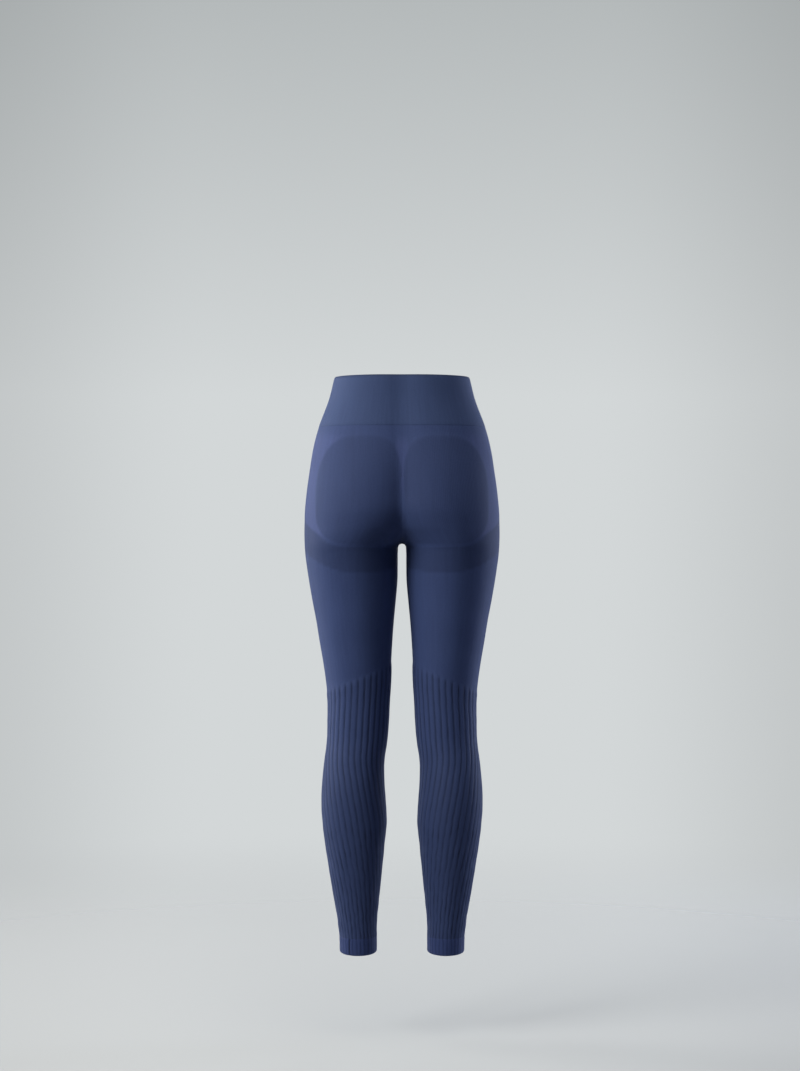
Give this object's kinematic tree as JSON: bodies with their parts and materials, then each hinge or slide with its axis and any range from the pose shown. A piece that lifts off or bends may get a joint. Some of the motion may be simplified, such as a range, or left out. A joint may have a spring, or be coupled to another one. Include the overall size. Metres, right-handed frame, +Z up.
{
  "type": "leggings",
  "caption": "Full-length high-waisted seamless-knit leggings with a deep waistband, knitted-in seat shaping, ribs from knee to ankle and turned ankle cuffs, worn shape, hollow and open.",
  "frame": {"origin": "middle of the waist opening, level with the waistband's top edge, where the wearer's waist holds the garment", "axes": "+Z up along the body, +Y towards the wearer's back, +X to the wearer's left"},
  "size_m": [0.3392, 0.2181, 0.998],
  "materials": {
    "band_knit": "smooth doubled knit, soft sheen",
    "body_knit": "smooth fine knit, ribbed below the knee",
    "cuff_knit": "doubled knit, faintly ribbed"
  },
  "bodies": {
    "root": {"waistband": "band_knit", "left_leg": "body_knit", "right_leg": "body_knit", "left_cuff": "cuff_knit", "right_cuff": "cuff_knit"}
  },
  "joints": []
}
